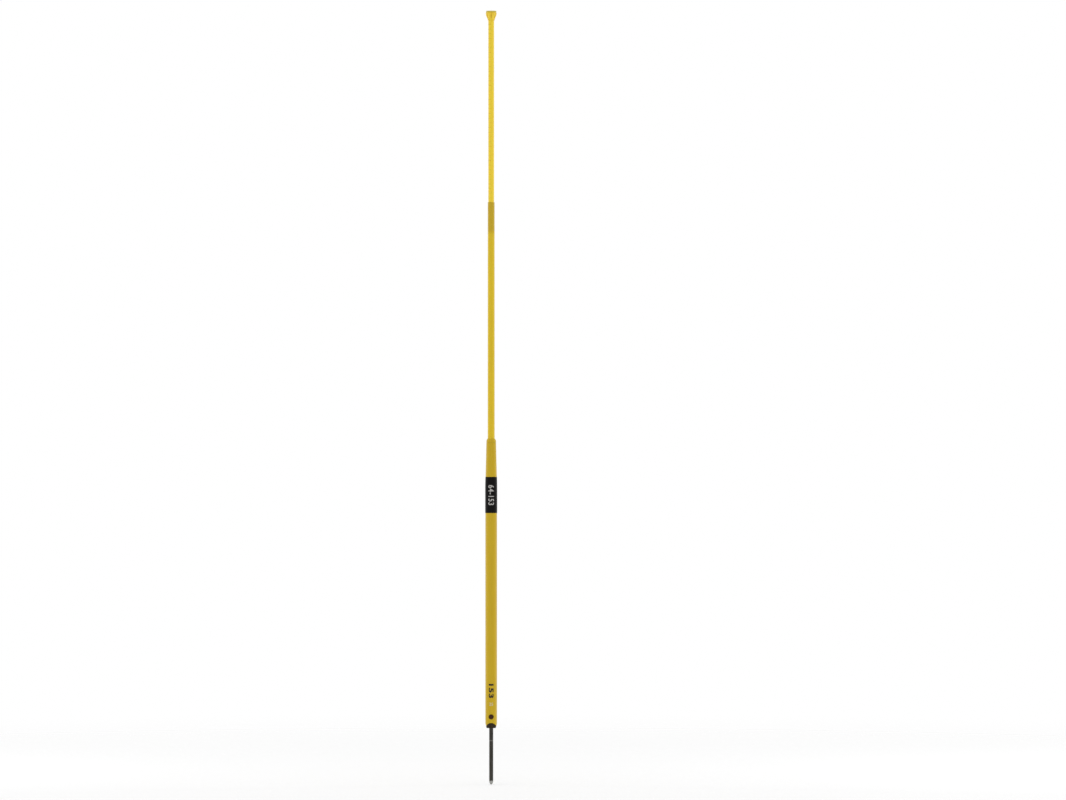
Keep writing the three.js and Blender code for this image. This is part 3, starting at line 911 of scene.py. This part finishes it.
BUTTON_DOME = 1.2
BUTTON_DOME_INSET = 0.6
BUTTON_DOME_POINTS = 14
BUTTON_RIM_ROUNDING = 0.45
BUTTON_RIM_REACH = 0.9
BUTTON_RIM_RISE = 0.62
BUTTON_FACE = 1.6
BUTTON_WALL = 1.5
BUTTON_SIDES = 128
EAR_THICKNESS = 1
SPRING_WIRE_RADIUS = 0.2
SPRING_TURNS = 4
SPRING_FLAT_TURNS = 0.5
SPRING_STEPS = 48
SPRING_SIDES = 14


def release_button():
    """Cup turned about its own axis and laid to the front. Its dome is a flat arc, its rim is rounded,
    and two ears on a bar across its open end keep it behind the tube's wall."""
    cup_radius = button_radius - BUTTON_WALL
    ceiling = crown - BUTTON_FACE
    rim = crown - BUTTON_DOME
    from_axis = np.linspace(0, 1, BUTTON_DOME_POINTS)[::-1]
    dome_reach = (button_radius - BUTTON_DOME_INSET) * from_axis
    dome = np.stack([dome_reach, crown - (BUTTON_DOME - BUTTON_DOME_INSET) * from_axis**2], -1)
    skirt = outline(
        [
            (cup_radius, ceiling, SOFT_EDGE),
            (cup_radius, skirt_end, EDGE_ROUNDING),
            (button_radius, skirt_end, EDGE_ROUNDING),
            (button_radius, rim + BUTTON_RIM_ROUNDING, BUTTON_RIM_ROUNDING),
            (button_radius - BUTTON_RIM_REACH, rim + BUTTON_RIM_RISE, 0),
        ]
    )
    profile = np.vstack([[(0, ceiling)], skirt[:-1], dome])
    cup = surface("release_button", laid_forward(turned(profile, BUTTON_SIDES), button_height))
    ears = block(
        "ears",
        (-EAR_HALF_WIDTH, -skirt_end - EAR_THICKNESS, button_height - ear_tip),
        (EAR_HALF_WIDTH, -skirt_end, button_height + ear_tip),
    )
    carve(ears, [front_bar("hollow", cup_radius, crown, 0)])
    return carve(cup, [ears], "UNION")


def coil_spring():
    """Round wire wound about the button's axis: a circle carried along a helix, whose pitch closes to
    nothing over the first and last half turn, so that its ends lie flat."""
    coil_radius = spring_high[0] - SPRING_WIRE_RADIUS
    start = -spring_high[1] + SPRING_WIRE_RADIUS
    end = -spring_low[1] - SPRING_WIRE_RADIUS
    turns = np.linspace(0, SPRING_TURNS, SPRING_TURNS * SPRING_STEPS + 1)
    pitch = np.clip(np.minimum(turns, SPRING_TURNS - turns) / SPRING_FLAT_TURNS, 0, 1)
    climb = np.cumsum(pitch)
    depth = start + (end - start) * (climb - climb[0]) / (climb[-1] - climb[0])
    angle = 2 * math.pi * turns[:, None]
    side = np.arange(SPRING_SIDES) * 2 * math.pi / SPRING_SIDES
    radius = coil_radius + SPRING_WIRE_RADIUS * np.cos(side)
    along = depth[:, None] + SPRING_WIRE_RADIUS * np.sin(side)
    wire = np.stack(np.broadcast_arrays(radius * np.sin(angle), -radius * np.cos(angle), along), -1)
    first = np.repeat(wire[:1].mean(1, keepdims=True), SPRING_SIDES, 1)
    last = np.repeat(wire[-1:].mean(1, keepdims=True), SPRING_SIDES, 1)
    closed_wire = np.concatenate([first, wire, last])
    return surface("coil_spring", laid_forward((closed_wire, True), button_height))


place(release_button(), "button", "black_moulding", brown_nylon, "snap_button")
spring = place(coil_spring(), "bottom_section", "spring_steel", wire_steel, "button_spring")
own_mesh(spring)


# Prints on the bottom section, with weights that are shares of the font's size

PRINT_LIFT = 0.02
PRINT_THICKNESS = 0.05
BAND_PRINT_HEIGHT = 496.8
BAND_PRINT_LENGTH = 42.6
BAND_PRINT_ACROSS = 12.4
BAND_PRINT_WEIGHT = 0.016
FOOT_PRINT_HEIGHT = 79.5
FOOT_PRINT_LENGTH = 30
FOOT_PRINT_ACROSS = 10.8
FOOT_PRINT_WEIGHT = 0.038
SIZE_PRINT_HEIGHT = 51.2
SIZE_PRINT_LENGTH = 8
SIZE_PRINT_ACROSS = 6.3
PRINT_STRIP = 0.35
FOLD_ROUNDS = 2
PRINT_SPACING = 1.1


def close_folds(form):
    """Merges doubled points and closes the small folds that the weight leaves in the notches of flat
    figures: edges whose two faces don't go on in each other, and faces that look back, shrink to a
    point."""
    bmesh.ops.remove_doubles(form, verts=form.verts, dist=MERGE_DISTANCE)
    for _ in range(FOLD_ROUNDS):
        form.normal_update()
        folds = [
            edge
            for edge in form.edges
            if (len(edge.link_faces) > 1 and not edge.is_contiguous)
            or any(face.normal.z < 0 for face in edge.link_faces)
        ]
        bmesh.ops.collapse(form, edges=folds)
    bmesh.ops.delete(form, geom=[edge for edge in form.edges if not edge.link_faces], context="EDGES")
    bmesh.ops.delete(form, geom=[vert for vert in form.verts if not vert.link_faces], context="VERTS")


def points_of(mesh):
    """A mesh's points, as rows of three."""
    points = np.zeros(len(mesh.vertices) * 3)
    mesh.vertices.foreach_get("co", points)
    return points.reshape(-1, 3)


def print_on_tube(name, words, size, height, radius, weight, material, upright=False):
    """Numbers laid on the tube's front. Flat figures are stretched to a size, their length and height,
    cut into narrow strips and rolled on the tube, so that what is across becomes a turn. They read
    downwards, or upright."""
    text = bpy.data.curves.new(name, "FONT")
    text.body = words
    text.align_x = "CENTER"
    text.align_y = "CENTER"
    text.offset = weight
    text.space_character = PRINT_SPACING
    letters = bpy.data.objects.new(name, text)
    bpy.context.scene.collection.objects.link(letters)
    bpy.context.view_layer.update()
    evaluated = letters.evaluated_get(bpy.context.evaluated_depsgraph_get())
    mesh = bpy.data.meshes.new_from_object(evaluated)
    bpy.data.objects.remove(letters)
    flat = points_of(mesh)
    flat -= (flat.min(0) + flat.max(0)) / 2
    flat[:, :2] *= np.array(size) / (flat[:, :2].max(0) * 2)
    mesh.vertices.foreach_set("co", flat.ravel())
    across_axis = 0 if upright else 1
    direction = tuple(float(axis == across_axis) for axis in range(3))
    reach = flat[:, across_axis].max()
    form = bmesh.new()
    form.from_mesh(mesh)
    close_folds(form)
    for cut in np.arange(-reach + PRINT_STRIP, reach, PRINT_STRIP):
        everything = list(form.verts) + list(form.edges) + list(form.faces)
        bmesh.ops.bisect_plane(
            form, geom=everything, plane_co=[cut * part for part in direction], plane_no=direction
        )
    form.to_mesh(mesh)
    form.free()
    flat = points_of(mesh)
    across = flat[:, across_axis]
    down = flat[:, 1] if upright else -flat[:, 0]
    up = height + down
    here = radius(up) + PRINT_LIFT
    rolled = around(here, across / here, up) * MM
    mesh.vertices.foreach_set("co", rolled.ravel())
    made = bpy.data.objects.new(name, mesh)
    bpy.context.scene.collection.objects.link(made)
    body = made.modifiers.new("ink", "SOLIDIFY")
    body.thickness = PRINT_THICKNESS * MM
    body.offset = 1
    return place(made, "bottom_section", None, material)


def band_skin_radius(height):
    """Outside of the film at its front."""
    return band_high[0] - BAND_LAP_STEP - drawn_in(height)


def tube_skin_radius(height):
    """Outside of the wide tube."""
    return tube_radius - drawn_in(height)


# The band bears the heights pushed in and drawn out, in centimetres, and the foot the one drawn out and
# the tube's size.
print_on_tube(
    "band_numbers",
    "64-153",
    (BAND_PRINT_LENGTH, BAND_PRINT_ACROSS),
    BAND_PRINT_HEIGHT,
    band_skin_radius,
    BAND_PRINT_WEIGHT,
    pale_ink,
)
print_on_tube(
    "foot_numbers",
    "153",
    (FOOT_PRINT_LENGTH, FOOT_PRINT_ACROSS),
    FOOT_PRINT_HEIGHT,
    tube_skin_radius,
    FOOT_PRINT_WEIGHT,
    dark_ink,
)
print_on_tube(
    "size_number",
    "25",
    (SIZE_PRINT_LENGTH, SIZE_PRINT_ACROSS),
    SIZE_PRINT_HEIGHT,
    tube_skin_radius,
    0,
    faded_ink,
    upright=True,
)


# Middle section

MIDDLE_WALL = 0.75
NARROW_WALL = 0.6
LOCK_SLIT = 2
COLLAR_COLUMNS = 160
FOOT_PLUG_FLANGE = 2.7
FOOT_PLUG_WALL = 1.3
FOOT_PLUG_EDGE = 0.5
FOOT_PLUG_EDGE_STEPS = 4
FOOT_PLUG_SIDES = 128
UPPER_FLARE = 0.25

middle_radius = middle_high[0]
middle_bore = middle_radius - MIDDLE_WALL
middle_foot = middle_low[2]
middle_top = middle_high[2]
upper_foot = upper_low[2]
upper_foot_radius = upper_high[0]
upper_radius = upper_foot_radius - UPPER_FLARE
middle_mouth_bore = upper_radius + SLIDING_GAP


def sliding_tube(name, outer, inner):
    """Turned tube from an outline that goes up the outside and down the inside."""
    return surface(name, turned(ring(outline([*outer, *inner]))))


inner_tube = sliding_tube(
    "inner_tube",
    [
        (middle_radius, middle_foot, EDGE_ROUNDING),
        (middle_bore + NARROW_WALL, upper_foot, 0),
        (middle_mouth_bore + MIDDLE_WALL, middle_top, ROUND_EDGE),
    ],
    [
        (middle_mouth_bore, middle_top, SOFT_EDGE),
        (middle_bore, upper_foot, 0),
        (middle_bore, middle_foot, EDGE_ROUNDING),
    ],
)
place(inner_tube, "middle_section", "yellow_tube", yellow_middle, "middle_tube")


def split_collar():
    """Cone-shaped ring carried round the tube's foot and left open at the back, with its ends closed."""
    slit_half = math.asin(LOCK_SLIT / 2 / collar_high[0])
    turn = np.linspace(-math.pi + slit_half, math.pi - slit_half, COLLAR_COLUMNS)
    inside = middle_radius + SEAT_GAP
    top = tube_radius - drawn_in(collar_high[2]) - TUBE_WALL - SLIDING_GAP
    profile = ring(
        outline(
            [
                (inside, collar_low[2], EDGE_ROUNDING),
                (collar_high[0], collar_low[2], ROUND_EDGE),
                (top, collar_high[2], ROUND_EDGE),
                (inside, collar_high[2], EDGE_ROUNDING),
            ]
        )
    )
    shell = around(profile[:, :1], turn[None], profile[:, 1:])
    centre = profile[:-1].mean(0)
    caps = [
        np.stack([around(centre[0], end, np.full(len(profile), centre[1])), shell[:, column]])
        for end, column in ((turn[0], 0), (turn[-1], -1))
    ]
    return surface("split_collar", (shell, False), (caps[0], False), (caps[1], False))


def foot_cup(name, low, radius, flange, spigot_radius, spigot_top, wall):
    """Cup-shaped plug turned about the axis: a flange below the tube's end and a spigot inside it."""
    flange_top = low + flange
    profile = outline(
        [
            (0, low, 0),
            (radius, low, FOOT_PLUG_EDGE),
            (radius, flange_top, SOFT_EDGE),
            (spigot_radius, flange_top, FINE_EDGE),
            (spigot_radius, spigot_top, ROUND_EDGE),
            (spigot_radius - wall, spigot_top, SOFT_EDGE),
            (spigot_radius - wall, flange_top, ROUND_EDGE),
            (0, flange_top, 0),
        ],
        FOOT_PLUG_EDGE_STEPS,
    )
    return surface(name, turned(profile, FOOT_PLUG_SIDES))


place(split_collar(), "middle_section", "yellow_moulding", yellow_bush, "lock_collar")
inner_tube_plug = foot_cup(
    "inner_tube_plug",
    middle_plug_low[2],
    middle_plug_high[0],
    FOOT_PLUG_FLANGE,
    middle_bore - SEAT_GAP,
    middle_plug_high[2],
    FOOT_PLUG_WALL,
)
place(inner_tube_plug, "middle_section", "yellow_moulding", yellow_bush, "middle_foot_plug")


# Upper section

UPPER_WALL = 0.8
UPPER_STRAIGHT = 8
UPPER_CONE = 23
UPPER_BEND = 60
UPPER_PLUG_FLANGE = 1.8
UPPER_PLUG_WALL = 1.1

cone_bottom = upper_foot + UPPER_STRAIGHT
cone_top = cone_bottom + UPPER_CONE
top_tube = sliding_tube(
    "top_tube",
    [
        (upper_foot_radius, upper_foot, EDGE_ROUNDING),
        (upper_foot_radius, cone_bottom, UPPER_BEND),
        (upper_radius, cone_top, UPPER_BEND),
        (upper_radius, upper_high[2], EDGE_ROUNDING),
    ],
    [
        (upper_radius - UPPER_WALL, upper_high[2], EDGE_ROUNDING),
        (upper_radius - UPPER_WALL, cone_top, UPPER_BEND),
        (upper_foot_radius - UPPER_WALL, cone_bottom, UPPER_BEND),
        (upper_foot_radius - UPPER_WALL, upper_foot, EDGE_ROUNDING),
    ],
)
top_tube_plug = foot_cup(
    "top_tube_plug",
    upper_plug_low[2],
    upper_plug_high[0],
    UPPER_PLUG_FLANGE,
    upper_foot_radius - UPPER_WALL - SEAT_GAP,
    upper_plug_high[2],
    UPPER_PLUG_WALL,
)
place(top_tube, "upper_section", "yellow_tube", yellow_upper, "upper_tube")
place(top_tube_plug, "upper_section", "yellow_moulding", yellow_bush, "upper_foot_plug")


# Scale marks, which go a quarter turn from the left side to the front

MARK_PITCH = 10
MARK_THICKNESS = 0.3
MARK_TURN = math.pi / 2
MARK_COLUMNS = 25
MARK_LIFT = 0.01
MARK_DEPTH = 0.03


def scale_marks():
    """Plain height marks on the tube, one at every whole pitch over the turf: each a thin flat strip
    with closed ends, carried round the tube."""
    turn = np.linspace(-MARK_TURN, 0, MARK_COLUMNS)
    strips = []
    low = upper_radius + MARK_LIFT
    high = low + MARK_DEPTH
    first = math.ceil(middle_top / MARK_PITCH)
    last = math.floor(cap_low[2] / MARK_PITCH)
    for number in range(first, last + 1):
        bottom = number * MARK_PITCH - MARK_THICKNESS / 2
        top = bottom + MARK_THICKNESS
        profile = ring(np.array([(low, bottom), (high, bottom), (high, top), (low, top)]))
        strip = around(profile[:, :1], turn[None], profile[:, 1:])
        ends = [np.repeat(strip[:-1, column].mean(0)[None, None], len(profile), 0) for column in (0, -1)]
        strips.append((np.concatenate([ends[0], strip, ends[1]], 1), False))
    return surface("scale_marks", *strips)


place(scale_marks(), "upper_section", None, scale_ink)


# The cap

CAP_NECK_WALL = 1
CAP_SOCKET_DEPTH = 16
CAP_FLUTE_DEPTH = 2.3
CAP_RIM_ROUNDING = 0.6
CAP_RIM_RADIUS = 10.9
CAP_RIM_LAP = 0.3
CAP_RIM_STEPS = 8
CAP_SIDES = 360
CAP_ROWS = 44
CAP_GROOVE_RADIUS = 7.7
CAP_GROOVE_DEPTH = 0.25
CAP_GROOVE_HALF_FLOOR = 0.3
CAP_GROOVE_HALF_TOP = 0.6
CAP_GROOVE_ROUNDING = 0.15
FLUTE_SOFTNESS = 0.04
# Each row is a share of the body's height, of its flare, and of the flutes' depth.
CAP_BODY_SHARES = (
    (0, 0, 0),
    (0.12, 0.06, 0.05),
    (0.25, 0.22, 0.3),
    (0.4, 0.5, 0.65),
    (0.55, 0.76, 0.9),
    (0.7, 0.93, 1),
    (0.85, 1, 1),
    (0.95, 0.91, 0.85),
    (1, 0.7, 0.6),
)


def smooth_through(at, knots, values):
    """Smooth curve through values at knots: between two knots, the cubic that has their values and the
    slopes of the lines through each knot's neighbours."""
    slopes = np.gradient(values, knots)
    span = np.clip(np.searchsorted(knots, at, side="right") - 1, 0, len(knots) - 2)
    width = knots[span + 1] - knots[span]
    t = (at - knots[span]) / width
    return (
        (2 * t**3 - 3 * t**2 + 1) * values[span]
        + (t**3 - 2 * t**2 + t) * width * slopes[span]
        + (3 * t**2 - 2 * t**3) * values[span + 1]
        + (t**3 - t**2) * width * slopes[span + 1]
    )


def fluted_cap():
    """The cap as rings round its axis. Each ring's radius is the body's flare at its height less the
    flutes' depth times one minus the size of the sine of half as many turns as there are flutes, which
    gives round lobes with narrow flutes between them. Rim, top and socket are turned."""
    turn = full_turn(CAP_SIDES)
    underside = cap_low[2]
    top = cap_high[2]
    body_height = top - underside - CAP_RIM_HEIGHT
    socket = upper_radius + SEAT_GAP
    neck = socket + CAP_NECK_WALL
    outer = cap_high[0]
    knots, flares, flutes = np.array(CAP_BODY_SHARES, float).T
    up = np.linspace(0, 1 - CAP_RIM_LAP / body_height, CAP_ROWS)
    radius = neck + (outer - neck) * smooth_through(up, knots, flares)
    depth = CAP_FLUTE_DEPTH * smooth_through(up, knots, flutes)
    wave = np.sin(CAP_FLUTES * turn / 2)
    fold = 1 - np.sqrt(wave**2 + FLUTE_SOFTNESS**2) / math.sqrt(1 + FLUTE_SOFTNESS**2)
    body_radius = radius[:, None] - depth[:, None] * fold
    body_up = np.repeat((underside + body_height * up)[:, None], CAP_SIDES, 1)
    rim_bottom = underside + body_height - CAP_RIM_LAP
    rim = outline(
        [
            (neck, rim_bottom, 0),
            (CAP_RIM_RADIUS, rim_bottom, CAP_RIM_ROUNDING),
            (CAP_RIM_RADIUS, top, CAP_RIM_ROUNDING),
            (CAP_GROOVE_RADIUS + CAP_GROOVE_HALF_TOP, top, CAP_GROOVE_ROUNDING),
            (CAP_GROOVE_RADIUS + CAP_GROOVE_HALF_FLOOR, top - CAP_GROOVE_DEPTH, FINE_EDGE),
            (CAP_GROOVE_RADIUS - CAP_GROOVE_HALF_FLOOR, top - CAP_GROOVE_DEPTH, FINE_EDGE),
            (CAP_GROOVE_RADIUS - CAP_GROOVE_HALF_TOP, top, CAP_GROOVE_ROUNDING),
            (0, top, 0),
        ],
        CAP_RIM_STEPS,
    )[1:]
    inside = outline(
        [
            (0, underside + CAP_SOCKET_DEPTH, 0),
            (socket, underside + CAP_SOCKET_DEPTH, ROUND_EDGE),
            (socket, underside, SOFT_EDGE),
            (neck, underside, 0),
        ]
    )
    radii = np.vstack(
        [np.repeat(inside[:-1, :1], CAP_SIDES, 1), body_radius, np.repeat(rim[:, :1], CAP_SIDES, 1)]
    )
    heights = np.vstack(
        [np.repeat(inside[:-1, 1:], CAP_SIDES, 1), body_up, np.repeat(rim[:, 1:], CAP_SIDES, 1)]
    )
    return surface("fluted_cap", (around(radii, turn[None], heights), True))


place(fluted_cap(), "upper_section", "yellow_moulding", yellow_cap, "top_cap")


# Floor and light

FLOOR_GAP = 0.4
FLOOR_RADIUS = 9000
FLOOR_FADE_START = 400
FLOOR_FADE_END = 3500
FLOOR_SIDES = 96
SEEN_WHITE = 1
FELT_WHITE = 0.9
SOFTBOX_AZIMUTH = 108
SOFTBOX_DISTANCE = 2400
SOFTBOX_HEIGHT = 850
SOFTBOX_SIZE = (400, 2800)
RIGHT_POWER = 12
LEFT_POWER = 10


def pale_floor():
    """Flat round floor just under the spike's tip, as a disc whose edge fades away."""
    height = spike_low[2] - FLOOR_GAP
    disc = surface("floor", turned(np.array([(0, height), (FLOOR_RADIUS, height)]), FLOOR_SIDES))
    material, tree, shader, where = new_material("pale_floor")
    feed(tree, shader, {"Base Color": linear("#FFFFFF"), "Roughness": 0.9, "Specular IOR Level": 0.1})
    distance = add(tree, "VectorMath", (where,), operation="LENGTH")
    gone = add(tree, "MapRange", (distance, FLOOR_FADE_START * MM, FLOOR_FADE_END * MM), **SMOOTH)
    output = next(node for node in tree.nodes if node.type == "OUTPUT_MATERIAL")
    blend = add(tree, "MixShader", (gone, shader, add(tree, "BsdfTransparent")))
    feed(tree, output, {"Surface": blend})
    disc.data.materials.append(material)


def softbox(name, azimuth, power):
    """Tall area light that stands at an azimuth from the front and faces the pole."""
    data = bpy.data.lights.new(name, "AREA")
    data.shape = "RECTANGLE"
    data.size, data.size_y = (side * MM for side in SOFTBOX_SIZE)
    data.energy = power
    light = bpy.data.objects.new(name, data)
    turn = math.radians(azimuth)
    light.location = around(SOFTBOX_DISTANCE, turn, SOFTBOX_HEIGHT) * MM
    light.rotation_euler = (math.pi / 2, 0, turn)
    light.visible_camera = False
    bpy.context.scene.collection.objects.link(light)


def white_surround():
    """White backdrop for the camera, and a softer white light from all round on the object."""
    world = bpy.data.worlds.new("white_surround")
    bpy.context.scene.world = world
    world.use_nodes = True
    tree = world.node_tree
    tree.nodes.clear()
    seen = add(tree, "Background", {"Color": linear("#FFFFFF"), "Strength": SEEN_WHITE})
    felt = add(tree, "Background", {"Color": linear("#FFFFFF"), "Strength": FELT_WHITE})
    by_camera = add(tree, "LightPath").outputs["Is Camera Ray"]
    add(tree, "OutputWorld", {"Surface": add(tree, "MixShader", (by_camera, felt, seen))})


pale_floor()
white_surround()
softbox("right_softbox", SOFTBOX_AZIMUTH, RIGHT_POWER)
softbox("left_softbox", -SOFTBOX_AZIMUTH, LEFT_POWER)
